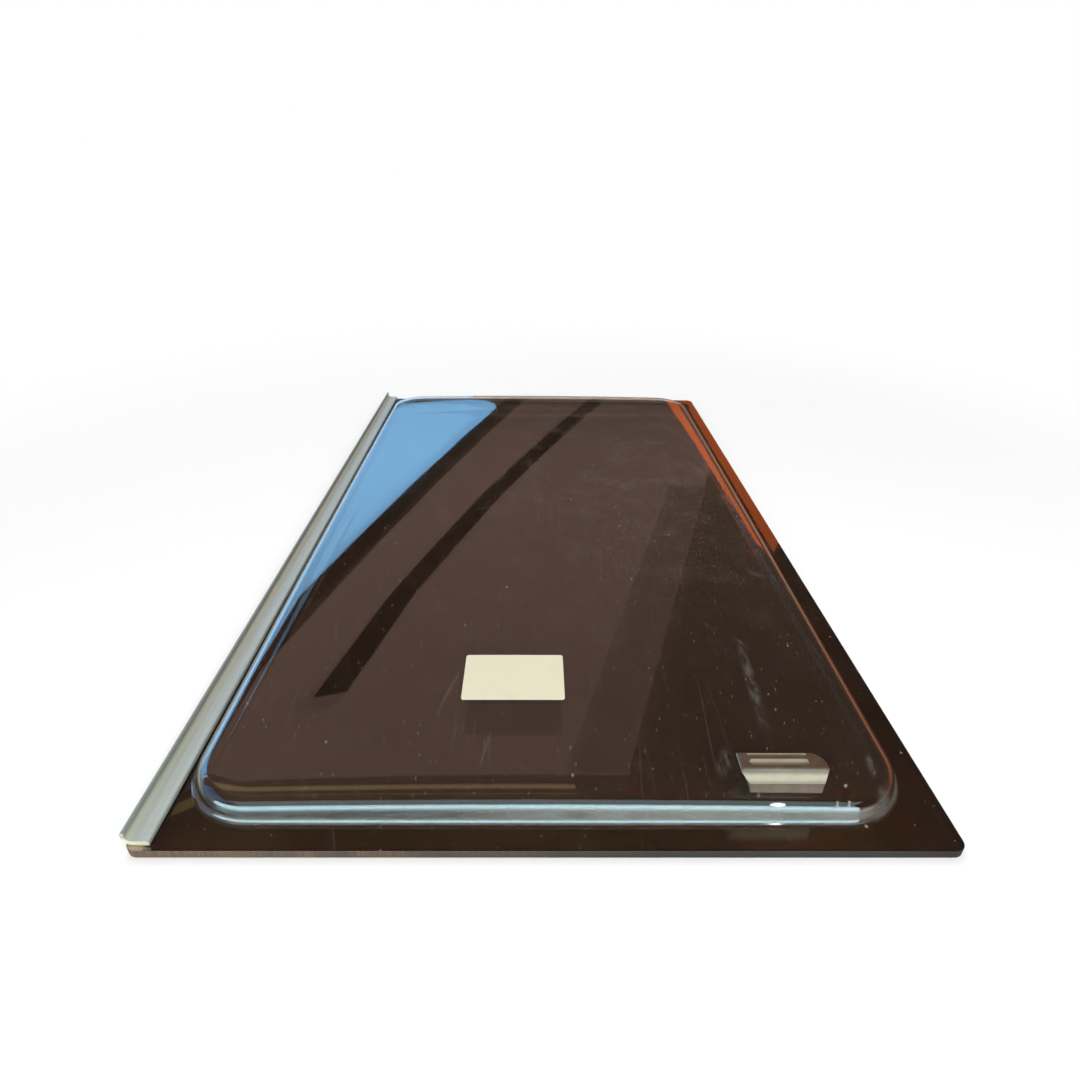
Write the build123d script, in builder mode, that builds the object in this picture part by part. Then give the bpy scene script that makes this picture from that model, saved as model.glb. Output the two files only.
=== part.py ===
from build123d import *
from math import cos, radians, sqrt, tan
import os

os.makedirs("parts", exist_ok=True)

# A top-hinged caravan window with two bonded acrylic skins. It lies on its outer face,
# with the hinge edge at -X and the catch in the corner at +X, -Y.

# Panes
pane_length = 862.0
pane_width = 510.5
pane_corner_radius = 8.0
outer_thickness = 3.5
inner_thickness = 2.5
rim_top = outer_thickness + inner_thickness

# Dome formed in the inner pane, inside a flat rim
rim_at_ends = 16.8
rim_at_sides = 17.0
dome_length = pane_length - 2 * rim_at_ends
dome_width = pane_width - 2 * rim_at_sides
dome_corner_radius = 50.0
wall_draft = 8.0
foot_radius = 4.0
shoulder_radius = 7.0
crown_height = 24.3
crown_radius_across = 9500.0
crown_radius_along = 30000.0

# Hinge rail on the rim of the hinge edge
rail_end_gap = 3.5
rail_width = 15.8
rail_thickness = 3.0
rail_camber = 0.4
rail_edge_radius = 1.4
lip_height = 7.5
lip_thickness = 1.8
lip_root_radius = 4.5
rail_bend_radius = 6.4
bead_radius = 1.4
bond_thickness = 1.0
bond_inset = 0.6

# Catch: a base bonded to the dome and a lever that swivels on its boss
catch_from_dome_side = 63.55
catch_from_dome_end = 14.6
catch_depth = 14.3
base_height = 3.7
base_length_at_top = 47.9
base_length_at_foot = 44.3
base_corner_radius = 2.0
swivel_clearance = 0.3
lever_thickness = 13.3
lever_length_at_top = 56.3
lever_length_at_bottom = 48.1
lever_swivel_end_radius = 10.0
lever_front_corner_radius = 1.5
lever_top_radius = 1.8
boss_radius = 3.5
boss_height = 9.0
boss_clearance = 0.1
boss_inset = 8.0
grip_length = 38.0
grip_width = 4.6
grip_depth = 3.0
grip_from_front = 6.0
grip_offset = -1.6
rear_groove_width = 1.8
rear_groove_depth = 0.8
rear_groove_from_rear = 2.4

draft = radians(wall_draft)
foot_run = foot_radius / tan(radians(90 + wall_draft) / 2)
crown_half_width = pane_width / 2
crown_half_length = pane_length / 2


def sag(radius, half_chord):
    """How far an arc of this radius falls away over half its chord."""
    return radius - sqrt(radius**2 - half_chord**2)


def formed_skin(skin_offset, foot_height, edge_radius):
    """Drafted walls under a doubly curved crown, set in from the dome's outer face by skin_offset."""
    inset = foot_run + skin_offset / cos(draft) - (rim_top - foot_height) * tan(draft)
    side_drop = sag(crown_radius_across - skin_offset, crown_half_width)
    with BuildPart() as crown:
        for station in (-crown_half_length, 0, crown_half_length):
            ridge = crown_height - skin_offset - sag(crown_radius_along - skin_offset, station)
            with BuildSketch(Plane.XZ.offset(-station)):
                with BuildLine():
                    ThreePointArc(
                        (-crown_half_width, ridge - side_drop),
                        (0, ridge),
                        (crown_half_width, ridge - side_drop),
                    )
                    Polyline(
                        (crown_half_width, ridge - side_drop),
                        (crown_half_width, 0),
                        (-crown_half_width, 0),
                        (-crown_half_width, ridge - side_drop),
                    )
                make_face()
        loft()
    with BuildPart() as skin:
        with BuildSketch(Plane.XY.offset(foot_height)):
            RectangleRounded(
                dome_width - 2 * inset,
                dome_length - 2 * inset,
                dome_corner_radius - inset,
            )
        extrude(amount=crown_height, taper=wall_draft)
        add(crown.part, mode=Mode.INTERSECT)
        fillet(skin.faces().sort_by(Axis.Z)[-1].edges(), edge_radius)
    return skin.part


dome = formed_skin(0, rim_top, shoulder_radius)
dome_cavity = formed_skin(inner_thickness, outer_thickness, shoulder_radius - inner_thickness)

# Flat outer pane
with BuildPart() as outer_pane:
    with BuildSketch():
        RectangleRounded(pane_width, pane_length, pane_corner_radius)
    extrude(amount=outer_thickness)

# Formed inner pane: a flat rim bonded to the outer pane, rolled up into the dome
with BuildPart() as inner_pane:
    with BuildSketch(Plane.XY.offset(outer_thickness)):
        RectangleRounded(pane_width, pane_length, pane_corner_radius)
    extrude(amount=inner_thickness)
    add(dome)
    rim_face = inner_pane.faces().filter_by(Plane.XY).sort_by(Axis.Z)[-1]
    fillet(rim_face.inner_wires()[0].edges(), foot_radius)
    add(dome_cavity, mode=Mode.SUBTRACT)
    bond_face = inner_pane.faces().filter_by(Plane.XY).sort_by(Axis.Z)[0]
    fillet(bond_face.inner_wires()[0].edges(), foot_radius + inner_thickness)

# Hinge rail: a cambered flange that bends up, clear of the pane's edge, into a beaded lip
rail_left = -pane_width / 2
rail_base = rim_top + bond_thickness
rail_top = rail_base + rail_thickness
rail_length = pane_length - 2 * rail_end_gap
lip_top = rail_top + lip_height
with BuildPart() as hinge_rail:
    with BuildSketch(Plane.XZ) as rail_section:
        with BuildLine():
            Polyline(
                (rail_left + lip_thickness, rail_top),
                (rail_left + lip_thickness, lip_top - bead_radius),
                (rail_left, lip_top - bead_radius),
                (rail_left, rail_base),
                (rail_left + rail_width, rail_base),
                (rail_left + rail_width, rail_top),
            )
            ThreePointArc(
                (rail_left + rail_width, rail_top),
                (rail_left + (rail_width + lip_thickness) / 2, rail_top + rail_camber),
                (rail_left + lip_thickness, rail_top),
            )
        make_face()
        rail_corners = rail_section.vertices().group_by(Axis.Y)[1].sort_by(Axis.X)
        fillet(rail_corners[0], lip_root_radius)
        flange_edge = rail_section.vertices().group_by(Axis.X)[-1].sort_by(Axis.Y)
        fillet(flange_edge[-1], rail_edge_radius)
        outer_edge = rail_section.vertices().group_by(Axis.X)[0].sort_by(Axis.Y)
        fillet(outer_edge[0], rail_bend_radius)
        with Locations((rail_left + bead_radius, lip_top - bead_radius)):
            Circle(bead_radius)
    extrude(amount=rail_length / 2, both=True)

# Sealing tape that bonds the rail's flat seat to the rim
seat_width = rail_width - rail_bend_radius
with BuildPart() as rail_bond:
    with BuildSketch(Plane.XY.offset(rim_top)):
        with Locations((rail_left + rail_bend_radius + seat_width / 2, 0)):
            Rectangle(seat_width - 2 * bond_inset, rail_length - 2 * bond_inset)
    extrude(amount=bond_thickness)

# Catch base, shaped to the crown below it, with the boss that the lever turns on
catch_right = dome_width / 2 - catch_from_dome_side
catch_front = catch_from_dome_end - dome_length / 2
catch_mid = catch_front + catch_depth / 2
base_top = crown_height + base_height
swivel_x = catch_right - boss_inset
with BuildPart() as catch_base:
    with BuildSketch(Plane.XZ.offset(-catch_mid)):
        with BuildLine():
            Polyline(
                (catch_right, base_top),
                (catch_right - base_length_at_top, base_top),
                (catch_right - base_length_at_foot, rim_top),
                (catch_right, rim_top),
                close=True,
            )
        make_face()
    extrude(amount=catch_depth / 2, both=True)
    add(dome, mode=Mode.SUBTRACT)
    fillet(catch_base.edges().filter_by(Axis.Z), base_corner_radius)
    with BuildSketch(Plane.XY.offset(base_top)):
        with Locations((swivel_x, catch_mid)):
            Circle(boss_radius)
    extrude(amount=boss_height)

# Catch lever with an undercut fingertip end and a grip slot along its top
lever_bottom = base_top + swivel_clearance
lever_top = lever_bottom + lever_thickness
with BuildPart() as catch_lever:
    with BuildSketch(Plane.XZ.offset(-catch_mid)):
        with BuildLine():
            Polyline(
                (catch_right, lever_top),
                (catch_right - lever_length_at_top, lever_top),
                (catch_right - lever_length_at_bottom, lever_bottom),
                (catch_right, lever_bottom),
                close=True,
            )
        make_face()
    extrude(amount=catch_depth / 2, both=True)
    swivel_edges = catch_lever.edges().filter_by(Axis.Z).sort_by(Axis.Y)
    fillet(swivel_edges[0], lever_front_corner_radius)
    fillet(catch_lever.edges().filter_by(Axis.Z).sort_by(Axis.Y)[-1], lever_swivel_end_radius)
    fillet(catch_lever.faces().sort_by(Axis.Z)[-1].edges(), lever_top_radius)
    grip_x = catch_right - lever_length_at_top / 2 + grip_offset
    with BuildSketch(Plane.XY.offset(lever_top)):
        with Locations((grip_x, catch_front + grip_from_front)):
            SlotOverall(grip_length, grip_width)
    extrude(amount=-grip_depth, mode=Mode.SUBTRACT)
    with BuildSketch(Plane.XY.offset(lever_top)):
        with Locations((grip_x, catch_front + catch_depth - rear_groove_from_rear)):
            SlotOverall(grip_length, rear_groove_width)
    extrude(amount=-rear_groove_depth, mode=Mode.SUBTRACT)
    with BuildSketch(Plane.XY.offset(lever_bottom)):
        with Locations((swivel_x, catch_mid)):
            Circle(boss_radius + boss_clearance)
    extrude(amount=boss_height - swivel_clearance + boss_clearance, mode=Mode.SUBTRACT)

outer_pane.part.label = "outer_pane"
inner_pane.part.label = "inner_pane"
hinge_rail.part.label = "hinge_rail"
rail_bond.part.label = "rail_bond"
catch_base.part.label = "catch_base"
catch_lever.part.label = "catch_lever"

export_step(outer_pane.part, "parts/outer_pane.step")
export_step(inner_pane.part, "parts/inner_pane.step")
export_step(hinge_rail.part, "parts/hinge_rail.step")
export_step(rail_bond.part, "parts/rail_bond.step")
export_step(catch_base.part, "parts/catch_base.step")
export_step(catch_lever.part, "parts/catch_lever.step")
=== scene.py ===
from math import cos, pi, radians, sin, sqrt, tan

import bpy
from mathutils import Matrix, Vector


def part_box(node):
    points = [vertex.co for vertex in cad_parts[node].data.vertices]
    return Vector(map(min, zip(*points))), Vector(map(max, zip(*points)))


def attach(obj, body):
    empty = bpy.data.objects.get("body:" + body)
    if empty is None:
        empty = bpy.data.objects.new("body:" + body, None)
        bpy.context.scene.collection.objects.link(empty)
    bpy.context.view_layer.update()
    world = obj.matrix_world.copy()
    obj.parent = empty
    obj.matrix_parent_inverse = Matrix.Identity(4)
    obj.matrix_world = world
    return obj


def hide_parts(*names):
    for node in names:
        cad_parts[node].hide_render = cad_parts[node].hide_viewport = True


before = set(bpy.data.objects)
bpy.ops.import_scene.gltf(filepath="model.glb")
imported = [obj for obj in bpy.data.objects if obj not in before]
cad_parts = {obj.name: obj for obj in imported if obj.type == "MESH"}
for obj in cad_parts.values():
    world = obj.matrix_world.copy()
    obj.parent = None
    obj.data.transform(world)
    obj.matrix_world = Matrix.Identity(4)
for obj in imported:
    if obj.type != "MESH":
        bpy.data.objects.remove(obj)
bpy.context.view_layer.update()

MM = 0.001

# The panes, read from the frame
PANE_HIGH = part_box("outer_pane")[1]
HALF_WIDTH = PANE_HIGH.x
HALF_LENGTH = PANE_HIGH.y
OUTER_TOP = PANE_HIGH.z
CROWN_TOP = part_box("inner_pane")[1].z

# The dome's form, as in the solids, apart from a shoulder that is 2.5 mm rounder
PANE_CORNER = 8.0 * MM
INNER_THICKNESS = 2.5 * MM
RIM_TOP = OUTER_TOP + INNER_THICKNESS
RIM_AT_ENDS = 16.8 * MM
RIM_AT_SIDES = 17.0 * MM
DOME_CORNER = 50.0 * MM
DRAFT = radians(8.0)
FOOT_RADIUS = 4.0 * MM
SHOULDER_RADIUS = 9.5 * MM
CROWN_ACROSS = 9500.0 * MM
CROWN_ALONG = 30000.0 * MM

# Edges of the sheets
EDGE_CHAMFER = 0.3 * MM
BOND_GAP = 0.03 * MM

# Thickness of the hinge rail's flange
RAIL_THICKNESS = 3.0 * MM

# The paper label
LABEL_WIDTH = 76.2 * MM
LABEL_HEIGHT = 50.8 * MM
LABEL_CENTRE = Vector((-24.1, -292.4)) * MM
LABEL_CORNER = 2.2 * MM
LABEL_THICKNESS = 0.14 * MM
LABEL_LIFT = 0.03 * MM

# Mesh steps round the sheets, over the dome's profile and over the label
CORNER_STEPS = 18
LONG_STEPS = 56
SHORT_STEPS = 34
FOOT_STEPS = 9
WALL_STEPS = 4
SHOULDER_STEPS = 14
SHOULDER_PASSES = 4
TOP_SHRINKS = (0.02, 0.05, 0.09, 0.14, 0.21, 0.30, 0.40, 0.51, 0.62, 0.73, 0.83, 0.92, 0.97)
LABEL_STEPS = (6, 20, 14)
LABEL_RINGS = (0.25, 0.5, 0.75, 0.9)
SHARP_ANGLE = radians(35)


# Shapes


def crown_height(x, y):
    """Height of the dome's doubly curved top at a place in plan."""
    across = CROWN_ACROSS - sqrt(CROWN_ACROSS**2 - x**2)
    along = CROWN_ALONG - sqrt(CROWN_ALONG**2 - y**2)
    return CROWN_TOP - across - along


def rounded_outline(
    half_x, half_y, radius, corner_steps=CORNER_STEPS, steps_x=SHORT_STEPS, steps_y=LONG_STEPS
):
    """Points of a rounded rectangle, anticlockwise, each with its outward normal."""
    outline = []
    for turn, (side_x, side_y) in enumerate(((1, 1), (-1, 1), (-1, -1), (1, -1))):
        centre = Vector((side_x * (half_x - radius), side_y * (half_y - radius)))
        for step in range(corner_steps + 1):
            angle = (turn + step / corner_steps) * pi / 2
            normal = Vector((cos(angle), sin(angle)))
            outline.append((centre + radius * normal, normal))
        run_steps = steps_x if turn % 2 == 0 else steps_y
        run = 2 * (half_x - radius) if turn % 2 == 0 else 2 * (half_y - radius)
        corner_end, normal = outline[-1]
        along = Vector((-normal.y, normal.x))
        for step in range(1, run_steps):
            outline.append((corner_end + along * (run * step / run_steps), normal))
    return outline


def level_ring(outline, height, inset=0.0):
    """An outline at one height, set in by a constant distance."""
    return [(*(point - normal * inset), height) for point, normal in outline]


def dome_section(point, normal, skin):
    """The profile inwards from one point of the dome's foot line, for the face skin below the outer one."""
    foot = FOOT_RADIUS + skin
    shoulder = SHOULDER_RADIUS - skin
    foot_centre = RIM_TOP + FOOT_RADIUS
    foot_turn = pi / 2 - DRAFT
    profile = []
    for step in range(FOOT_STEPS + 1):
        turn = foot_turn * step / FOOT_STEPS
        profile.append((foot * sin(turn), foot_centre - foot * cos(turn)))
    wall_inset, wall_base = profile[-1]

    # The shoulder's centre lies one radius inside the wall and one below the crown
    centre_height = CROWN_TOP - SHOULDER_RADIUS
    for _ in range(SHOULDER_PASSES):
        centre_inset = wall_inset + (centre_height - wall_base) * tan(DRAFT) + shoulder / cos(DRAFT)
        place = point - normal * centre_inset
        further = point - normal * (centre_inset + MM)
        slope = (crown_height(*further) - crown_height(*place)) / MM
        centre_height = crown_height(*place) - SHOULDER_RADIUS * sqrt(1 + slope**2)

    wall_end = (centre_inset - shoulder * cos(DRAFT), centre_height + shoulder * sin(DRAFT))
    for step in range(1, WALL_STEPS):
        share = step / WALL_STEPS
        profile.append(
            (
                wall_inset + (wall_end[0] - wall_inset) * share,
                wall_base + (wall_end[1] - wall_base) * share,
            )
        )
    top_turn = pi / 2 - slope
    for step in range(SHOULDER_STEPS + 1):
        turn = DRAFT + (top_turn - DRAFT) * step / SHOULDER_STEPS
        profile.append((centre_inset - shoulder * cos(turn), centre_height + shoulder * sin(turn)))
    return [(*(point - normal * inset), height) for inset, height in profile]


def dome_rings(skin):
    """Rings of one face of the formed pane, from its foot line to the middle of its top."""
    outline = rounded_outline(HALF_WIDTH - RIM_AT_SIDES, HALF_LENGTH - RIM_AT_ENDS, DOME_CORNER)
    sections = [dome_section(point, normal, skin) for point, normal in outline]
    rings = [list(ring) for ring in zip(*sections)]
    shoulder_ring = rings[-1]
    for shrink in TOP_SHRINKS:
        keep = 1 - shrink
        places = [(x * keep, y * keep) for x, y, _ in shoulder_ring]
        rings.append([(x, y, crown_height(x, y) - skin) for x, y in places])
    return rings


class Skin:
    """Collects rings of points and the faces between them."""

    def __init__(self):
        self.points = []
        self.faces = []
        self.slots = []

    def face(self, corners, slot=0):
        self.faces.append(corners)
        self.slots.append(slot)

    def ring(self, points):
        first = len(self.points)
        self.points.extend(points)
        return range(first, len(self.points))

    def bridge(self, below, above, slot=0):
        count = len(below)
        for i in range(count):
            j = (i + 1) % count
            self.face((below[i], below[j], above[j], above[i]), slot)

    def stack(self, rings, slot=0):
        placed = [self.ring(ring) for ring in rings]
        for below, above in zip(placed, placed[1:]):
            self.bridge(below, above, slot)
        return placed

    def cap(self, ring, upwards=True):
        self.face(tuple(ring) if upwards else tuple(reversed(ring)))

    def fan(self, ring, height, upwards=True):
        middle = len(self.points)
        self.points.append((0.0, 0.0, height))
        count = len(ring)
        for i in range(count):
            j = (i + 1) % count
            self.face((ring[i], ring[j], middle) if upwards else (ring[j], ring[i], middle))

    def make(self, name, *materials):
        mesh = bpy.data.meshes.new(name)
        mesh.from_pydata(self.points, [], self.faces)
        mesh.polygons.foreach_set("material_index", self.slots)
        mesh.shade_smooth()
        mesh.set_sharp_from_angle(angle=SHARP_ANGLE)
        for material in materials:
            mesh.materials.append(material)
        piece = bpy.data.objects.new(name, mesh)
        bpy.context.scene.collection.objects.link(piece)
        return piece


# Node trees


class Nodes:
    """A short way to write the node tree of a material or a world."""

    def __init__(self, name, owners=bpy.data.materials):
        self.owner = owners.new(name)
        self.owner.use_nodes = True
        self.tree = self.owner.node_tree
        self.tree.nodes.clear()
        coordinates = self.add("ShaderNodeTexCoord").outputs
        self.places = coordinates["Object"]
        self.facing = coordinates["Normal"]

    def add(self, kind, inputs=None, **settings):
        made = self.tree.nodes.new(kind)
        for key, value in settings.items():
            setattr(made, key, value)
        for key, value in (inputs or {}).items():
            if isinstance(value, bpy.types.NodeSocket):
                self.tree.links.new(value, made.inputs[key])
            else:
                made.inputs[key].default_value = value
        return made

    def stretched(self, scale, shift=(0.0, 0.0, 0.0), turn=0.0):
        """Object coordinates, scaled per axis, for grain that runs one way."""
        inputs = {"Vector": self.places, "Scale": scale, "Location": shift, "Rotation": (0.0, 0.0, turn)}
        return self.add("ShaderNodeMapping", inputs).outputs[0]

    def noise(self, scale, detail, rough, places=None, flat=False):
        inputs = {"Vector": places or self.places, "Scale": scale, "Detail": detail, "Roughness": rough}
        made = self.add("ShaderNodeTexNoise", inputs, noise_dimensions="2D" if flat else "3D")
        return made.outputs["Fac"]

    def cells(self, scale, places=None, feature="F1", flat=False):
        inputs = {"Vector": places or self.places, "Scale": scale}
        dimensions = "2D" if flat else "3D"
        return self.add("ShaderNodeTexVoronoi", inputs, feature=feature, voronoi_dimensions=dimensions)

    def span(self, value, low, high, to_low=0.0, to_high=1.0, smooth=True):
        """Maps low to high onto to_low to to_high, clamped."""
        inputs = {"Value": value, "From Min": low, "From Max": high, "To Min": to_low, "To Max": to_high}
        kind = "SMOOTHSTEP" if smooth else "LINEAR"
        return self.add("ShaderNodeMapRange", inputs, interpolation_type=kind, clamp=True).outputs[0]

    def span_from(self, edge, value, reach, *shares):
        """The same, with low and high measured from an edge."""
        return self.span(value, edge + reach[0], edge + reach[1], *shares)

    def maths(self, operation, first, second):
        return self.add("ShaderNodeMath", {0: first, 1: second}, operation=operation).outputs[0]

    def times(self, first, *others):
        for other in others:
            first = self.maths("MULTIPLY", first, other)
        return first

    def plus(self, first, second):
        return self.maths("ADD", first, second)

    def most(self, first, *others):
        for other in others:
            first = self.maths("MAXIMUM", first, other)
        return first

    def length(self, vector):
        return self.add("ShaderNodeVectorMath", {0: vector}, operation="LENGTH").outputs["Value"]

    def axes(self, vector):
        return self.add("ShaderNodeSeparateXYZ", {"Vector": vector}).outputs

    def blend(self, share, first, second):
        """A colour between two."""
        return self.add("ShaderNodeMix", {0: share, 6: first, 7: second}, data_type="RGBA").outputs[2]

    def bump(self, height, distance, strength, normal=None):
        inputs = {"Height": height, "Distance": distance, "Strength": strength}
        if normal:
            inputs["Normal"] = normal
        return self.add("ShaderNodeBump", inputs).outputs[0]

    def seen(self):
        """1 for rays from the camera, from mirrors and through clear pieces, and 0 for light."""
        path = self.add("ShaderNodeLightPath").outputs
        return self.most(path["Is Camera Ray"], path["Is Glossy Ray"], path["Is Transmission Ray"])

    def principled(self, **inputs):
        named = {key.replace("_", " "): value for key, value in inputs.items()}
        return self.add("ShaderNodeBsdfPrincipled", named).outputs[0]

    def emission(self, glow, strength):
        return self.add("ShaderNodeEmission", {"Color": glow, "Strength": strength}).outputs[0]

    def mix_shaders(self, share, first, second):
        return self.add("ShaderNodeMixShader", {0: share, 1: first, 2: second}).outputs[0]

    def finish(self, shader, output="ShaderNodeOutputMaterial"):
        self.add(output, {"Surface": shader})
        return self.owner


def colour(red, green, blue):
    return (red, green, blue, 1.0)


# Acrylic

INNER_TINT = Vector((0.87, 0.81, 0.76))
ACRYLIC_IOR = 1.49
# Smoke of the sheets: their own tint, deepened by painted shade for the dark ground seen through them
SMOKE_AND_SHADE_DARK = colour(0.019, 0.0085, 0.0045)
SMOKE_AND_SHADE_LIGHT = colour(0.030, 0.0140, 0.0078)
BOND_AND_SHADE_DARK = colour(0.031, 0.0112, 0.0050)
BOND_AND_SHADE_LIGHT = colour(0.052, 0.0190, 0.0086)
SAWN_DARK = colour(0.098, 0.060, 0.038)
SAWN_PALE = colour(0.215, 0.143, 0.090)
SAWN_STAIN = colour(0.065, 0.052, 0.046)
SAWN_PAINTED_SHADE = colour(0.022, 0.015, 0.013)
DUST = colour(0.60, 0.55, 0.49)
SEALANT = colour(0.40, 0.29, 0.185)
INNER_ROUGHNESS = 0.016
OUTER_ROUGHNESS = (0.02, 0.06)
SAWN_ROUGHNESS = (0.5, 0.75)

# Waves in the sheets and strokes of the saw: height in metres and strength
WAVE_BUMP = (0.0002, 0.2)
SAWN_BUMP = (0.00025, 0.6)

# Painted shade on the sawn edges grows between these places across the window, up to a share
SAWN_PAINTED_SHADE_PLACES = (-0.20, 0.10)
SAWN_PAINTED_SHADE_SHARE = 0.94
SAWN_STAIN_SHARE = 0.75

# Sealant at the near end of the rail, measured in from the pane's left and near edges
SEALANT_ACROSS = (10 * MM, 15 * MM)
SEALANT_ALONG = (5 * MM, 8 * MM)
SEALANT_SHARES = (0.72, 0.97)

# Haze lies round a centre, drawn out along the window, and thins out with distance
HAZE_CENTRE = Vector((0.12, 0.10))
HAZE_CORE = 0.05
HAZE_REACH = 0.34
HAZE_SQUEEZE = 0.75
HAZE_LEAST = 0.15
UPWARD_FACES = (0.75, 0.98)

# Specks: cells per metre, least and greatest size, and how seldom they show outside and inside the haze
SPECKS = ((260.0, 0.06, 0.12, 0.94, 0.80), (60.0, 0.028, 0.055, 0.95, 0.92))

# Scratches: turn, lines per metre and shift of the pattern, and the lines' width and length
SCRATCHES = ((0.35, 34.0, 0.0), (-0.8, 27.0, 3.1), (1.25, 41.0, 7.7))
SCRATCH_WIDTH = (0.002, 0.008)
SCRATCH_SQUEEZE = 0.045

# Smears and grit on the dome: centre, half length and half width, and the turn of the long axis.
# Each fades from its core outwards.
SPOT_CORE = 0.1
SMEARS = (
    ((0.157, -0.298), (0.066, 0.006), 1.50),
    ((0.215, -0.375), (0.015, 0.004), 1.41),
    ((0.215, -0.398), (0.013, 0.006), 1.00),
    ((0.149, -0.424), (0.010, 0.003), 1.90),
    ((0.118, -0.375), (0.017, 0.007), 1.20),
)
GRIT = (
    ((0.1917, -0.3928), (0.0018, 0.0013), 0.4),
    ((0.1819, -0.4052), (0.0014, 0.0010), 0.0),
    ((0.1894, -0.4050), (0.0016, 0.0011), 0.2),
    ((0.1998, -0.4131), (0.0011, 0.0022), 0.3),
)

# Dust on the near wall, more of it to the right as a painted highlight of sun on the wall, and dust in the
# groove along the dome's foot
NEAR_WALL_FACES = (-0.97, -0.72)
WALL_DUST_AND_LIGHT_PLACES = (-0.14, 0.10)
WALL_DUST_AND_LIGHT_SHARES = (0.02, 0.20)
GROOVE_RISE = (0.1 * MM, 0.6 * MM)
GROOVE_FALL = (1.6 * MM, 3.4 * MM)
GROOVE_FACES = (0.15, 0.35)
GROOVE_DUST = 0.13

# How much of each kind of dirt shows, and how much it dulls the surface
HAZE_SHARE = 0.09
SCRATCH_SHARE = 0.03
SPECK_SHARE = 0.3
SMEAR_SHARE = 0.10
GRIT_SHARE = 0.5
FILM_SHARE = 0.003
HAZE_DULLS = 0.10
SCRATCH_DULLS = 0.04


def spots(nodes, places):
    """Soft oval marks at the given places."""
    marks = []
    for centre, reach, turn in places:
        inputs = {
            "Vector": nodes.places,
            "Location": (*centre, 0.0),
            "Rotation": (0.0, 0.0, turn),
            "Scale": (*reach, 1.0),
        }
        laid = nodes.add("ShaderNodeMapping", inputs, vector_type="TEXTURE").outputs[0]
        marks.append(nodes.span(nodes.length(laid), SPOT_CORE, 1.0, 1.0, 0.0))
    return nodes.most(*marks)


def sealant_share(nodes):
    """Sealant that squeezed out on the rim, at the near end of the hinge rail."""
    place = nodes.axes(nodes.places)
    across = nodes.span_from(-HALF_WIDTH, place[0], SEALANT_ACROSS, 1.0, 0.0)
    along = nodes.span_from(-HALF_LENGTH, place[1], SEALANT_ALONG, 1.0, 0.0)
    uneven = nodes.span(nodes.noise(260.0, 3.0, 0.6), 0.35, 0.6, *SEALANT_SHARES)
    return nodes.times(across, along, uneven)


def dust_and_scratches(nodes):
    """Shares of haze, dust specks and scratches over a sheet. Dust lies on the faces that look up."""
    upward = nodes.span(nodes.axes(nodes.facing)[2], *UPWARD_FACES)
    shift = (-HAZE_CENTRE.x, -HAZE_CENTRE.y * HAZE_SQUEEZE, 0.0)
    away = nodes.length(nodes.stretched((1.0, HAZE_SQUEEZE, 0.0), shift))
    often = nodes.span(away, HAZE_CORE, HAZE_REACH, 1.0, HAZE_LEAST)
    clouds = nodes.span(nodes.noise(24.0, 6.0, 0.72, flat=True), 0.46, 0.74)
    grains = nodes.span(nodes.noise(360.0, 2.0, 0.75, flat=True), 0.48, 0.72, 0.12, 1.0)
    haze = nodes.times(clouds, grains, often, upward)

    specks = []
    for scale, smallest, largest, rarest, commonest in SPECKS:
        cells = nodes.cells(scale, flat=True)
        shown = nodes.axes(cells.outputs["Color"])
        size = nodes.span(shown[1], 0.0, 1.0, smallest, largest)
        speck = nodes.maths("LESS_THAN", cells.outputs["Distance"], size)
        seldom = nodes.span(often, HAZE_LEAST, 1.0, rarest, commonest)
        specks.append(nodes.times(speck, nodes.maths("GREATER_THAN", shown[0], seldom)))

    scratches = []
    for turn, scale, shift in SCRATCHES:
        lines = nodes.stretched((scale, scale * SCRATCH_SQUEEZE, 1.0), (shift, shift, 0.0), turn)
        edge = nodes.cells(1.0, lines, "DISTANCE_TO_EDGE", flat=True).outputs["Distance"]
        line = nodes.span(edge, *SCRATCH_WIDTH, 1.0, 0.0)
        patches = nodes.noise(11.0, 1.0, 0.5, nodes.stretched((1, 1, 1), (shift, 2.0, 0.0)), flat=True)
        scratches.append(nodes.times(line, nodes.span(patches, 0.58, 0.72)))
    return haze, nodes.times(nodes.most(*specks), upward), nodes.times(nodes.most(*scratches), upward)


def low_dust_and_light(nodes):
    """Dust that settled on the near wall and in the groove along the dome's foot. On the near wall it grows
    to the right as a painted highlight.
    """
    facing = nodes.axes(nodes.facing)
    place = nodes.axes(nodes.places)
    on_near_wall = nodes.span(facing[1], *NEAR_WALL_FACES, 1.0, 0.0)
    # Painted highlight: dust on the near wall grows brighter to the right, where sun would light it
    wall = nodes.times(on_near_wall, nodes.span(place[0], *WALL_DUST_AND_LIGHT_PLACES, *WALL_DUST_AND_LIGHT_SHARES))
    groove = nodes.times(
        nodes.span_from(RIM_TOP, place[2], GROOVE_RISE),
        nodes.span_from(RIM_TOP, place[2], GROOVE_FALL, GROOVE_DUST, 0.0),
        nodes.span(facing[2], *GROOVE_FACES),
    )
    patches = nodes.noise(60.0, 4.0, 0.65, nodes.stretched((1.0, 1.0, 4.0)))
    return nodes.times(nodes.most(wall, groove), nodes.span(patches, 0.35, 0.65, 0.6, 1.0))


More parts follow.
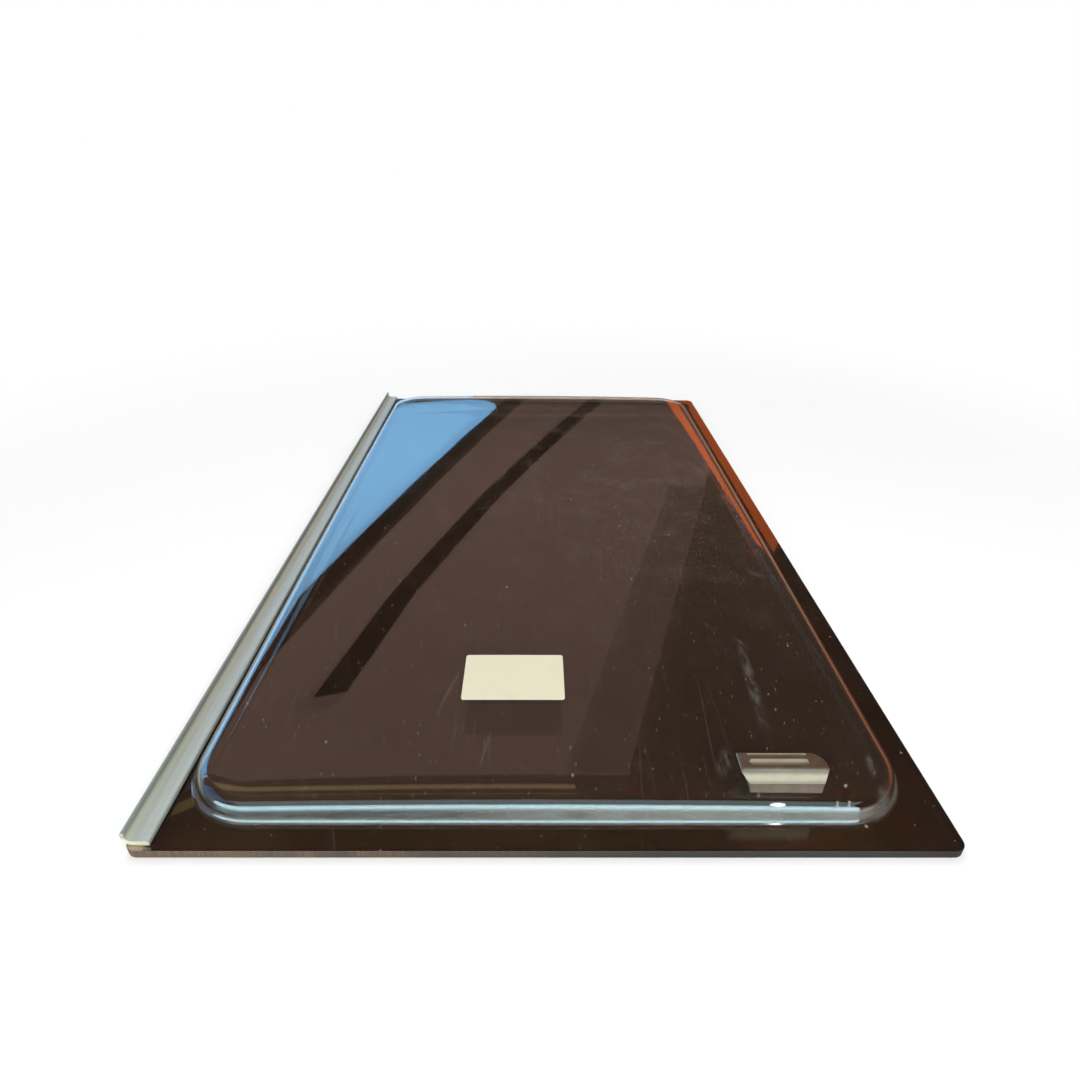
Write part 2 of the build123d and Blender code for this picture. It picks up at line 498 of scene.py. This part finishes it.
def inner_acrylic():
    """Clear acrylic with dust, scratches and sealant, which lets the lamps through."""
    nodes = Nodes("inner_acrylic_formed")
    haze, specks, scratches = dust_and_scratches(nodes)
    dulled = nodes.plus(nodes.times(haze, HAZE_DULLS), nodes.times(scratches, SCRATCH_DULLS))
    glass = nodes.principled(
        Base_Color=(*INNER_TINT, 1.0),
        Roughness=nodes.plus(dulled, INNER_ROUGHNESS),
        IOR=ACRYLIC_IOR,
        Transmission_Weight=1.0,
        Normal=nodes.bump(nodes.noise(7.0, 1.0, 0.4, flat=True), *WAVE_BUMP),
    )
    dust = nodes.principled(Base_Color=DUST, Roughness=0.9)
    wiped = nodes.noise(190.0, 4.0, 0.7, nodes.stretched((1.0, 0.4, 1.0)), flat=True)
    smears = nodes.times(spots(nodes, SMEARS), nodes.span(wiped, 0.34, 0.72), SMEAR_SHARE)
    grit = nodes.times(spots(nodes, GRIT), GRIT_SHARE)
    loose = nodes.most(nodes.times(specks, SPECK_SHARE), nodes.plus(smears, grit))
    film = nodes.plus(nodes.times(haze, HAZE_SHARE), nodes.times(scratches, SCRATCH_SHARE))
    film = nodes.plus(nodes.most(film, low_dust_and_light(nodes)), FILM_SHARE)
    dusty = nodes.mix_shaders(nodes.plus(loose, film), glass, dust)
    sealant = nodes.principled(Base_Color=SEALANT, Roughness=0.6)
    dusty = nodes.mix_shaders(sealant_share(nodes), dusty, sealant)
    lets_through = (*map(sqrt, INNER_TINT), 1.0)
    through = nodes.add("ShaderNodeBsdfTransparent", {"Color": lets_through}).outputs[0]
    lamp_ray = nodes.add("ShaderNodeLightPath").outputs["Is Shadow Ray"]
    return nodes.finish(nodes.mix_shaders(lamp_ray, dusty, through))


def outer_acrylic():
    """Dark smoked acrylic, opaque, its own smoke deepened by painted shade for the dark ground that would
    show through it.
    """
    nodes = Nodes("outer_acrylic_smoked")
    depth = nodes.noise(5.0, 3.0, 0.6, flat=True)
    smear = nodes.noise(30.0, 4.0, 0.6, nodes.stretched((1.0, 0.25, 1.0)), flat=True)
    return nodes.finish(
        nodes.principled(
            Base_Color=nodes.blend(nodes.span(depth, 0.3, 0.7), SMOKE_AND_SHADE_DARK, SMOKE_AND_SHADE_LIGHT),
            Roughness=nodes.span(smear, 0.35, 0.75, *OUTER_ROUGHNESS),
            IOR=ACRYLIC_IOR,
            Normal=nodes.bump(nodes.noise(6.0, 1.0, 0.4, flat=True), *WAVE_BUMP),
        )
    )


def bonded_acrylic():
    """The rim's underside, where the solvent bond leaves no mirror between the sheets. Its smoke is deepened
    by the same painted shade.
    """
    nodes = Nodes("bonded_acrylic_rim")
    depth = nodes.noise(9.0, 3.0, 0.6, flat=True)
    smoke = nodes.blend(nodes.span(depth, 0.3, 0.7), BOND_AND_SHADE_DARK, BOND_AND_SHADE_LIGHT)
    return nodes.finish(nodes.principled(Base_Color=smoke, Roughness=0.9, Specular_IOR_Level=0.0))


def sawn_acrylic():
    """Edges of the sheets, dull and pale from the saw, with painted shade darkening them to the right."""
    nodes = Nodes("sawn_acrylic_edge")
    strokes = nodes.noise(1.0, 4.0, 0.6, nodes.stretched((900.0, 900.0, 60.0)))
    patches = nodes.noise(22.0, 3.0, 0.6)
    pale = nodes.blend(nodes.span(strokes, 0.3, 0.7), SAWN_DARK, SAWN_PALE)
    stained = nodes.blend(nodes.span(patches, 0.42, 0.66, 0.0, SAWN_STAIN_SHARE), pale, SAWN_STAIN)
    # Painted shade: the sawn edges grow darker towards the right
    shade_to_right = nodes.span(nodes.axes(nodes.places)[0], *SAWN_PAINTED_SHADE_PLACES, 0.0, SAWN_PAINTED_SHADE_SHARE)
    return nodes.finish(
        nodes.principled(
            Base_Color=nodes.blend(shade_to_right, stained, SAWN_PAINTED_SHADE),
            Roughness=nodes.span(strokes, 0.2, 0.8, *SAWN_ROUGHNESS),
            Specular_IOR_Level=0.25,
            Normal=nodes.bump(strokes, *SAWN_BUMP),
        )
    )


# Metal, tape, plastic and paper

METAL_DARK = colour(0.48, 0.50, 0.455)
METAL_LIGHT = colour(0.565, 0.585, 0.53)
METAL_AGED = colour(0.42, 0.44, 0.395)
METAL_PAINTED_SHADE = colour(0.27, 0.265, 0.21)
METAL_BEND_HIGHLIGHT = colour(0.66, 0.655, 0.53)
METAL_SAWN_AND_HIGHLIGHT = colour(0.82, 0.77, 0.58)
METAL_PIT = colour(0.22, 0.21, 0.18)
TAPE_DARK = colour(0.30, 0.225, 0.15)
TAPE_LIGHT = colour(0.42, 0.33, 0.23)
LEVER_BEIGE = colour(0.585, 0.535, 0.41)
LEVER_WORN = colour(0.50, 0.45, 0.335)
LEVER_BROWN = colour(0.085, 0.046, 0.027)
LEVER_FADED = colour(0.125, 0.076, 0.050)
LEVER_SHADE = colour(0.20, 0.165, 0.125)
LEVER_LOW_SHADE = colour(0.22, 0.185, 0.14)
# The base's taupe is darkened by painted shade for the shadow the lever would cast
BASE_SHADED_TAUPE = colour(0.151, 0.099, 0.064)
BASE_SHADED_WORN = colour(0.112, 0.071, 0.045)
PAPER_CREAM = colour(0.95, 0.885, 0.645)
PAPER_LIGHT = colour(0.985, 0.935, 0.73)
PAPER_AGED = colour(0.80, 0.72, 0.50)
PAPER_AGED_SHARE = 0.3
PAPER_GLOW = 0.18
PLASTIC_IOR = 1.5
RAIL_ROUGHNESS = (0.42, 0.6)
LEVER_ROUGHNESS = (0.46, 0.66)
BASE_ROUGHNESS = (0.42, 0.6)

# Bumps: height in metres and strength
DRAWN_BUMP = (0.00006, 0.35)
PIT_BUMP = (0.00008, 0.6)
FOAM_BUMP = (0.0002, 0.5)
GRAIN_BUMP = (0.00004, 0.35)
FIBRE_BUMP = (0.00006, 0.5)

# Heights above the rail's flange between which its bend's painted highlight rises and falls, its lip's
# painted shade grows and its sawn end's painted highlight dims
BEND_START = (0.5 * MM, 1.2 * MM)
BEND_END = (2.2 * MM, 3.4 * MM)
LIP_PAINTED_SHADE = (2.2 * MM, 4.5 * MM)
END_HIGHLIGHT_DIMS = (0.5 * MM, 3.0 * MM)

# How much each of these changes the rail, and which way its sawn end faces
BEND_SHARE = 0.8
LIP_PAINTED_SHADE_SHARE = 0.8
END_LEAST = 0.35
END_FACES = -0.9
AGED_SHARE = 0.55
PIT_SHARE = 0.6

# Where the lever's colour and its painted shade change, measured from its top, front, rear and bottom
CAP_FROM_TOP = (-1.5 * MM, -1.0 * MM)
SLOT_FROM_TOP = (-0.3 * MM, -0.1 * MM)
FRONT_SHADE_FROM_TOP = (-6.8 * MM, -0.4 * MM)
FRONT_SHADE_FROM_FRONT = (2.0 * MM, 2.8 * MM)
REAR_SLOT_FROM_REAR = (-5.2 * MM, -4.2 * MM)
LOW_SHADE_FROM_BOTTOM = (0.0, 5.0 * MM)

# The faces on which it changes, and by how much
BROWN_FACES = (-0.97, -0.30)
SLOT_FACES = (0.9, 0.99)
FRONT_SHADE_SHARE = 0.95
REAR_SLOT_SHADE_SHARE = 0.6
SLOT_SHADE = 0.92
LOW_SHADE_SHARE = 0.7


def rail_aluminium(flange):
    """Drawn aluminium, with painted shade on the lip above the flange, a painted highlight along the bend
    and a sawn end that is bright partly from a painted highlight.
    """
    nodes = Nodes("rail_aluminium_satin")
    draw_lines = nodes.noise(1.0, 3.0, 0.6, nodes.stretched((1500.0, 9.0, 1500.0)))
    blotches = nodes.noise(26.0, 5.0, 0.65, nodes.stretched((1.0, 0.35, 1.0)))
    pits = nodes.cells(520.0)
    pitted = nodes.times(
        nodes.span(pits.outputs["Distance"], 0.10, 0.22, 1.0, 0.0),
        nodes.span(nodes.axes(pits.outputs["Color"])[0], 0.86, 0.9),
    )
    clean = nodes.blend(nodes.span(draw_lines, 0.3, 0.7), METAL_DARK, METAL_LIGHT)
    aged = nodes.blend(nodes.span(blotches, 0.45, 0.75, 0.0, AGED_SHARE), clean, METAL_AGED)
    height = nodes.axes(nodes.places)[2]
    # Painted shade on the lip, which faces away from the light
    lip_shade = nodes.span_from(flange, height, LIP_PAINTED_SHADE, 0.0, LIP_PAINTED_SHADE_SHARE)
    dulled = nodes.blend(lip_shade, aged, METAL_PAINTED_SHADE)
    # Painted highlight along the bend between lip and flange
    bend = nodes.times(
        nodes.span_from(flange, height, BEND_START),
        nodes.span_from(flange, height, BEND_END, 1.0, 0.0),
        BEND_SHARE,
    )
    highlighted = nodes.blend(bend, dulled, METAL_BEND_HIGHLIGHT)
    # The sawn end is partly painted highlight, dimming up the lip
    on_end = nodes.maths("LESS_THAN", nodes.axes(nodes.facing)[1], END_FACES)
    sawn = nodes.times(on_end, nodes.span_from(flange, height, END_HIGHLIGHT_DIMS, 1.0, END_LEAST))
    cut = nodes.blend(sawn, highlighted, METAL_SAWN_AND_HIGHLIGHT)
    drawn = nodes.bump(draw_lines, *DRAWN_BUMP)
    return nodes.finish(
        nodes.principled(
            Base_Color=nodes.blend(nodes.times(pitted, PIT_SHARE), cut, METAL_PIT),
            Metallic=0.35,
            Roughness=nodes.span(blotches, 0.3, 0.8, *RAIL_ROUGHNESS),
            Normal=nodes.bump(pitted, *PIT_BUMP, drawn),
        )
    )


def bond_tape():
    """Butyl sealing tape."""
    nodes = Nodes("bond_tape_butyl")
    foam = nodes.noise(700.0, 4.0, 0.6)
    tan_grey = nodes.blend(foam, TAPE_DARK, TAPE_LIGHT)
    return nodes.finish(
        nodes.principled(Base_Color=tan_grey, Roughness=0.75, Normal=nodes.bump(foam, *FOAM_BUMP))
    )


def catch_plastic(name, body, wear_and_shade, roughness):
    """Moulded plastic with a fine grain and handling marks."""
    nodes = Nodes(name)
    grain = nodes.noise(2600.0, 3.0, 0.6)
    marks = nodes.noise(140.0, 5.0, 0.65)
    tone = nodes.blend(nodes.span(marks, 0.42, 0.72), body, wear_and_shade)
    rough = nodes.span(marks, 0.3, 0.8, *roughness)
    return nodes, tone, rough, nodes.bump(grain, *GRAIN_BUMP)


def lever_plastic(box):
    """Beige lever with a dark brown cap, cut through by the slots, and painted shade that runs the brown
    down the top of its front, darkens its bottom and keeps part of the brown in the rear slot.
    """
    bottom, top, front, rear = box[0].z, box[1].z, box[0].y, box[1].y
    nodes, tone, rough, grain = catch_plastic(
        "catch_lever_two_tone", LEVER_BEIGE, LEVER_WORN, LEVER_ROUGHNESS
    )
    place = nodes.axes(nodes.places)
    facing = nodes.axes(nodes.facing)
    capped = nodes.times(
        nodes.span_from(top, place[2], CAP_FROM_TOP),
        nodes.span(facing[1], *BROWN_FACES),
    )
    # Painted shade: the brown runs down the top of the front face
    front_shade = nodes.times(
        nodes.span_from(top, place[2], FRONT_SHADE_FROM_TOP, 0.0, FRONT_SHADE_SHARE),
        nodes.span_from(front, place[1], FRONT_SHADE_FROM_FRONT, 1.0, 0.0),
    )
    in_slot = nodes.times(
        nodes.span(facing[2], *SLOT_FACES),
        nodes.span_from(top, place[2], SLOT_FROM_TOP, 1.0, 0.0),
    )
    # Painted shade: the rear slot keeps part of the brown
    wear_and_shade = nodes.span_from(rear, place[1], REAR_SLOT_FROM_REAR, 1.0, REAR_SLOT_SHADE_SHARE)
    bare_slot = nodes.maths("SUBTRACT", 1.0, nodes.times(in_slot, wear_and_shade))
    cap = nodes.times(nodes.most(capped, front_shade), bare_slot)
    marks = nodes.noise(90.0, 5.0, 0.65)
    brown = nodes.blend(nodes.span(marks, 0.4, 0.75), LEVER_BROWN, LEVER_FADED)
    shaded = nodes.blend(nodes.span(in_slot, 0.0, 1.0, 0.0, SLOT_SHADE), tone, LEVER_SHADE)
    # Painted shade: the lever darkens towards its bottom
    low = nodes.span_from(bottom, place[2], LOW_SHADE_FROM_BOTTOM, LOW_SHADE_SHARE, 0.0)
    two_tone = nodes.blend(cap, nodes.blend(low, shaded, LEVER_LOW_SHADE), brown)
    return nodes.finish(
        nodes.principled(Base_Color=two_tone, Roughness=rough, IOR=PLASTIC_IOR, Normal=grain)
    )


def base_plastic():
    """Taupe plastic of the catch's base, its colour darkened by painted shade for the shadow under the
    lever.
    """
    nodes, tone, rough, grain = catch_plastic("catch_base_taupe", BASE_SHADED_TAUPE, BASE_SHADED_WORN, BASE_ROUGHNESS)
    return nodes.finish(nodes.principled(Base_Color=tone, Roughness=rough, IOR=PLASTIC_IOR, Normal=grain))


def label_paper():
    """Cream paper that lets a little light through."""
    nodes = Nodes("label_paper_cream")
    fibres = nodes.noise(1.0, 4.0, 0.65, nodes.stretched((1900.0, 700.0, 1.0), turn=0.4))
    stains = nodes.noise(60.0, 4.0, 0.6)
    sheet = nodes.blend(nodes.span(fibres, 0.3, 0.7), PAPER_CREAM, PAPER_LIGHT)
    aged = nodes.blend(nodes.span(stains, 0.5, 0.8, 0.0, PAPER_AGED_SHARE), sheet, PAPER_AGED)
    paper = nodes.principled(Base_Color=aged, Roughness=0.7, Normal=nodes.bump(fibres, *FIBRE_BUMP))
    glow = nodes.add("ShaderNodeBsdfTranslucent", {"Color": aged}).outputs[0]
    return nodes.finish(nodes.mix_shaders(PAPER_GLOW, paper, glow))


# Pieces


def edge_rings(outline, bottom, top):
    """Rings of a sheet's edge, chamfered at both faces."""
    return [
        level_ring(outline, bottom, EDGE_CHAMFER),
        level_ring(outline, bottom + EDGE_CHAMFER),
        level_ring(outline, top - EDGE_CHAMFER),
        level_ring(outline, top, EDGE_CHAMFER),
    ]


def make_outer_pane(faces, edges):
    outline = rounded_outline(HALF_WIDTH, HALF_LENGTH, PANE_CORNER)
    skin = Skin()
    rings = skin.stack(edge_rings(outline, 0.0, OUTER_TOP - BOND_GAP), slot=1)
    skin.cap(rings[0], upwards=False)
    skin.cap(rings[-1])
    pane = skin.make("outer_pane_sheet", faces, edges)
    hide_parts("outer_pane")
    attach(pane, "window")


def make_inner_pane(faces, edges, bond):
    outline = rounded_outline(HALF_WIDTH, HALF_LENGTH, PANE_CORNER)
    skin = Skin()
    edge = skin.stack(edge_rings(outline, OUTER_TOP, RIM_TOP), slot=1)
    upper = skin.stack(dome_rings(0.0))
    skin.bridge(edge[-1], upper[0])
    skin.fan(upper[-1], CROWN_TOP)
    lower = skin.stack(list(reversed(dome_rings(INNER_THICKNESS))))
    skin.fan(lower[0], CROWN_TOP - INNER_THICKNESS, upwards=False)
    skin.bridge(lower[-1], edge[0], slot=2)
    pane = skin.make("inner_pane_dome", faces, edges, bond)
    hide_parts("inner_pane")
    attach(pane, "window")


def make_label(paper):
    outline = rounded_outline(LABEL_WIDTH / 2, LABEL_HEIGHT / 2, LABEL_CORNER, *LABEL_STEPS)

    def laid(keep, lift):
        ring = []
        for point, _ in outline:
            place = LABEL_CENTRE + point * keep
            ring.append((*place, crown_height(*place) + LABEL_LIFT + lift))
        return ring

    skin = Skin()
    under = [laid(keep, 0.0) for keep in (*LABEL_RINGS, 1.0)]
    over = [laid(keep, LABEL_THICKNESS) for keep in (1.0, *reversed(LABEL_RINGS))]
    rings = skin.stack(under + over)
    skin.cap(rings[0], upwards=False)
    skin.cap(rings[-1])
    label = skin.make("label", paper)
    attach(label, "window")


def dress_node(name, material):
    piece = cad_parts[name]
    for slot in piece.material_slots:
        slot.material = material


# Stage: floor, world and camera

WHITE = colour(1, 1, 1)
FLOOR_WHITE = colour(0.93, 0.93, 0.93)
FLOOR_LIFT = 0.16
FLOOR_FADE = (0.4, 1.1)
FLOOR_DROP = 0.4 * MM
FLOOR_REACH = 40.0
AMBIENT = 0.42

CAMERA_PLACE = Vector((-0.00965, -0.69954, 0.37304))
CAMERA_PITCH = 0.515
CAMERA_YAW = 0.011
CAMERA_ROLL = 0.010
CAMERA_LENS = 23.0
CAMERA_SENSOR = 36.0


def raised(outline, height):
    """Corners of a level sheet with this outline in plan."""
    return [(x, y, height) for x, y in outline]


def level(x_low, x_high, y_low, y_high, height):
    """Corners of a level rectangle."""
    return raised(((x_low, y_low), (x_high, y_low), (x_high, y_high), (x_low, y_high)), height)


def upright(start, end, top, bottom=0.0):
    """Corners of an upright rectangle over a line in plan."""
    return [(*start, bottom), (*end, bottom), (*end, top), (*start, top)]


def make_sheet(name, corners, material):
    mesh = bpy.data.meshes.new(name)
    mesh.from_pydata(corners, [], [tuple(range(len(corners)))])
    mesh.materials.append(material)
    sheet = bpy.data.objects.new(name, mesh)
    bpy.context.scene.collection.objects.link(sheet)
    return sheet


def floor_material():
    """White floor that fades into the white backdrop away from the object."""
    nodes = Nodes("stage_floor_white")
    matt = nodes.principled(Base_Color=FLOOR_WHITE, Roughness=1.0, Specular_IOR_Level=0.0)
    seen = nodes.seen()
    lift = nodes.emission(WHITE, nodes.times(seen, FLOOR_LIFT))
    lifted = nodes.add("ShaderNodeAddShader", {0: matt, 1: lift}).outputs[0]
    fade = nodes.span(nodes.length(nodes.places), *FLOOR_FADE)
    return nodes.finish(nodes.mix_shaders(nodes.times(fade, seen), lifted, nodes.emission(WHITE, 1.0)))


def make_floor():
    reach = FLOOR_REACH
    make_sheet("stage_floor", level(-reach, reach, -reach, reach, -FLOOR_DROP), floor_material())


def make_world():
    """White as seen, mirrored or through the panes, and a plain level of light on the object."""
    nodes = Nodes("stage_world", bpy.data.worlds)
    shown = nodes.add("ShaderNodeBackground", {"Color": WHITE, "Strength": 1.0}).outputs[0]
    ambient = nodes.add("ShaderNodeBackground", {"Color": WHITE, "Strength": AMBIENT}).outputs[0]
    mixed = nodes.mix_shaders(nodes.seen(), ambient, shown)
    bpy.context.scene.world = nodes.finish(mixed, "ShaderNodeOutputWorld")


def make_camera():
    """The camera that was fitted to the photograph, for a square frame."""
    pitch, yaw, roll = CAMERA_PITCH, CAMERA_YAW, CAMERA_ROLL
    data = bpy.data.cameras.new("camera")
    data.sensor_width = CAMERA_SENSOR
    data.lens = CAMERA_LENS
    forward = Vector((sin(yaw) * cos(pitch), cos(yaw) * cos(pitch), -sin(pitch)))
    sideways = Vector((cos(yaw), -sin(yaw), 0.0))
    upwards = sideways.cross(forward)
    right = cos(roll) * sideways + sin(roll) * upwards
    up = -sin(roll) * sideways + cos(roll) * upwards
    turned = Matrix((right, up, -forward)).transposed().to_4x4()
    camera = bpy.data.objects.new("camera", data)
    bpy.context.scene.collection.objects.link(camera)
    camera.matrix_world = Matrix.Translation(CAMERA_PLACE) @ turned
    bpy.context.scene.camera = camera


# Stage: cards that only mirrors show. The glossy skins mirror a dim warm ceiling with a beam,
# blue sky to the left and daylight in front.

WARM = (1.0, 0.72, 0.52)
MAROON = (1.0, 0.68, 0.56)
KHAKI = (1.0, 0.79, 0.36)
BRICK = (1.0, 0.40, 0.24)
TERRACOTTA = (1.0, 0.37, 0.21)
SUNLIT = (1.0, 0.20, 0.05)
SKY_BLUE = (0.235, 0.56, 0.95)
SKY_PALE = (0.34, 0.64, 1.0)
SKY_DEEP = (0.17, 0.38, 0.90)
DAYLIGHT = (0.66, 0.91, 1.0)
SKYLIGHT = (0.55, 0.88, 1.0)
SUN = (1.0, 0.97, 0.90)

# The ceiling, the cards under it and the flags under those
REACH = 5.5
CEILING = 1.5
UNDER = CEILING - 0.02
POST_HEIGHT = UNDER - 0.01
FLAG = CEILING - 0.04

# Outlines in plan
PANEL = ((-1.5, 0.85), (0.32, 0.85), (1.88, REACH), (-0.2, REACH))
POST = ((0.10, 0.85), (0.32, 0.85), (1.14, 3.25), (0.90, 3.25))
EAVE = ((-1.50, 0.65), (-1.36, 0.65), (-0.02, REACH), (-0.20, REACH))
BEAM = (
    (-0.88, 1.22), (-0.75, 1.25), (-0.58, 1.93), (-0.20, 3.05),
    (0.74, REACH), (0.59, REACH), (-0.33, 3.05), (-0.70, 1.93),
)
SKY_LEFT = -5.0
SKY_BACK = REACH - 0.05
SKY = (
    (SKY_LEFT, 0.65), (-1.5, 0.65), (-0.38, 4.8), (-0.35, 5.0),
    (-0.38, 5.15), (-0.47, 5.26), (-0.6, 5.3), (SKY_LEFT, 5.3),
)
BRICK_NEAR, BRICK_FAR = 0.63, 0.75
SOFTBOX_SIDE = 1.5
SOFTBOX_NEAR, SOFTBOX_FAR = -0.85, -2.4

# The warm floor beside the window
WARM_START = HALF_WIDTH + 1 * MM
WARM_END = 4.0
WARM_HEIGHT = 3 * MM
WARM_TURN = -0.05

# A flat upright strip light in front of the near end, for the dome's shoulder and foot to mirror
STRIP_PLACE = -HALF_LENGTH - 30.0 * MM
STRIP_START = (-360.0 * MM, STRIP_PLACE)
STRIP_END = (240.0 * MM, STRIP_PLACE)
STRIP_BOTTOM = 7.0 * MM
STRIP_MIDDLE = 30.5 * MM
STRIP_TOP = 58.0 * MM

# Name, corners, glow, and the strength, or the strengths at the first and the last corner
CARDS = (
    ("stage_ceiling_front", level(-REACH, REACH, 0.0, -REACH, CEILING), WARM, 0.06, 0.09),
    ("stage_ceiling_back", level(-REACH, REACH, 0.0, REACH, CEILING), WARM, 0.14, 0.13),
    ("stage_back_flag", upright((-REACH, REACH), (REACH, REACH), CEILING), WARM, 0.20),
    ("stage_panel", raised(PANEL, UNDER), MAROON, 0.48, 0.12),
    ("stage_post", raised(POST, POST_HEIGHT), MAROON, 0.33, 0.20),
    ("stage_khaki_edge", level(-REACH, 0.13, 0.775, 0.712, FLAG), KHAKI, 0.95),
    ("stage_khaki", level(-REACH, REACH, 0.62, -0.65, UNDER), KHAKI, 0.13),
    ("stage_brick_1", level(-0.72, -0.44, BRICK_NEAR, BRICK_FAR, UNDER), BRICK, 0.20),
    ("stage_brick_2", level(0.27, 0.54, BRICK_NEAR, BRICK_FAR, UNDER), BRICK, 0.20),
    ("stage_brick_3", level(0.78, 1.24, BRICK_NEAR, BRICK_FAR, UNDER), BRICK, 0.20),
    ("stage_eave", raised(EAVE, FLAG), WARM, 0.03),
    ("stage_beam", raised(BEAM, FLAG), WARM, 0.03),
    ("stage_sky_softbox", raised(SKY, UNDER), SKY_BLUE, 4.2, 1.70),
    ("stage_sky_back", upright((SKY_LEFT, SKY_BACK), (-0.6, SKY_BACK), UNDER), SKY_PALE, 1.5),
    ("stage_sky_side", upright((SKY_LEFT, 1.0), (SKY_LEFT, SKY_BACK), UNDER), SKY_PALE, 1.5),
    ("stage_sky_corner", level(SKY_LEFT, -1.7, -1.6, 0.2, UNDER), SKY_DEEP, 1.8),
    ("stage_sky_corner_side", upright((SKY_LEFT, -1.6), (SKY_LEFT, 0.2), UNDER), SKY_DEEP, 1.8),
    (
        "stage_warm_floor_near",
        level(WARM_START, WARM_END, -HALF_LENGTH, WARM_TURN, WARM_HEIGHT),
        TERRACOTTA,
        0.22,
    ),
    ("stage_warm_floor_far", level(WARM_START, WARM_END, WARM_TURN, 5.0, WARM_HEIGHT), TERRACOTTA, 0.50),
    ("stage_warm_roof", level(1.25, 1.37, 2.50, REACH, FLAG), SUNLIT, 2.0, 1.0),
    ("stage_side_flag", upright((REACH, -REACH), (REACH, REACH), CEILING), TERRACOTTA, 0.28),
    ("stage_front_flag", upright((-REACH, -REACH), (REACH, -REACH), CEILING), WARM, 0.10),
    (
        "stage_front_softbox",
        level(-SOFTBOX_SIDE, SOFTBOX_SIDE, SOFTBOX_NEAR, SOFTBOX_FAR, UNDER),
        DAYLIGHT,
        1.6,
        1.3,
    ),
    (
        "stage_low_softbox",
        upright((-SOFTBOX_SIDE, SOFTBOX_FAR), (SOFTBOX_SIDE, SOFTBOX_FAR), UNDER),
        DAYLIGHT,
        1.1,
    ),
    ("stage_strip_low", upright(STRIP_START, STRIP_END, STRIP_MIDDLE, STRIP_BOTTOM), SKYLIGHT, 2.4, 12.4),
    ("stage_strip_high", upright(STRIP_START, STRIP_END, STRIP_TOP, STRIP_MIDDLE), SKYLIGHT, 12.4, 6.5),
)

# A narrow bowed strip round the place of its glint: lean in degrees and half width
SPARK_GLINT = Vector((0.146, -0.41, 0.02))
SPARK_DISTANCE = 0.035
SPARK_SIDEWAYS = 0.322
SPARK_WIDTHS = ((24, 0.0012), (32, 0.0038), (42, 0.0059), (52, 0.0038), (60, 0.0012))
SPARK_STRENGTH = 26.0


def make_card(name, corners, glow, strength, far_strength=None):
    """A card like a flag or a softbox beside a glossy product. It may dim along y, or upwards if upright."""
    nodes = Nodes(name)
    if far_strength is not None:
        axis = 1 if corners[0][1] != corners[-1][1] else 2
        start, end = corners[0][axis], corners[-1][axis]
        place = nodes.axes(nodes.places)[axis]
        strength = nodes.span(place, start, end, strength, far_strength, smooth=False)
    card = make_sheet(name, corners, nodes.finish(nodes.emission(colour(*glow), strength)))
    card.visible_camera = False
    card.visible_diffuse = False
    card.visible_shadow = False


def make_spark():
    """The bowed strip that glints in the near shoulder and foot, as the sun would."""
    forward = sqrt(1 - SPARK_SIDEWAYS**2)
    left, right = [], []
    for angle, half_width in SPARK_WIDTHS:
        lean = radians(angle)
        towards = Vector((SPARK_SIDEWAYS, -forward * sin(lean), forward * cos(lean)))
        middle = SPARK_GLINT + SPARK_DISTANCE * towards
        left.append(middle - Vector((half_width, 0.0, 0.0)))
        right.append(middle + Vector((half_width, 0.0, 0.0)))
    for i in range(len(left) - 1):
        corners = [left[i], right[i], right[i + 1], left[i + 1]]
        make_card(f"stage_spark_{i + 1}", corners, SUN, SPARK_STRENGTH)


# Stage: lamps, each with its place, aim, size, power and tint

LAMPS = (
    ("stage_key", (0.25, -1.55, 1.25), (0.0, -0.2, 0.0), (2.4, 0.6), 23.0, (1.0, 0.99, 0.97)),
    ("stage_fill", (-0.4, 1.2, 1.9), (0.0, 0.0, 0.0), (1.6, 1.6), 15.0, (0.97, 0.985, 1.0)),
)


def make_lamp(name, place, aim, size, power, tint):
    light = bpy.data.lights.new(name, "AREA")
    light.shape = "RECTANGLE"
    light.size, light.size_y = size
    light.energy = power
    light.color = tint
    lamp = bpy.data.objects.new(name, light)
    bpy.context.scene.collection.objects.link(lamp)
    lamp.location = place
    lamp.rotation_mode = "QUATERNION"
    lamp.rotation_quaternion = (Vector(aim) - Vector(place)).to_track_quat("-Z", "Y")
    lamp.visible_glossy = False
    lamp.visible_transmission = False


edge_material = sawn_acrylic()
make_outer_pane(outer_acrylic(), edge_material)
make_inner_pane(inner_acrylic(), edge_material, bonded_acrylic())
make_label(label_paper())
dress_node("hinge_rail", rail_aluminium(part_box("rail_bond")[1].z + RAIL_THICKNESS))
dress_node("rail_bond", bond_tape())
dress_node("catch_base", base_plastic())
dress_node("catch_lever", lever_plastic(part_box("catch_lever")))

make_camera()
make_floor()
make_world()
for card in CARDS:
    make_card(*card)
make_spark()
for lamp in LAMPS:
    make_lamp(*lamp)

bpy.context.scene.view_settings.view_transform = "Standard"
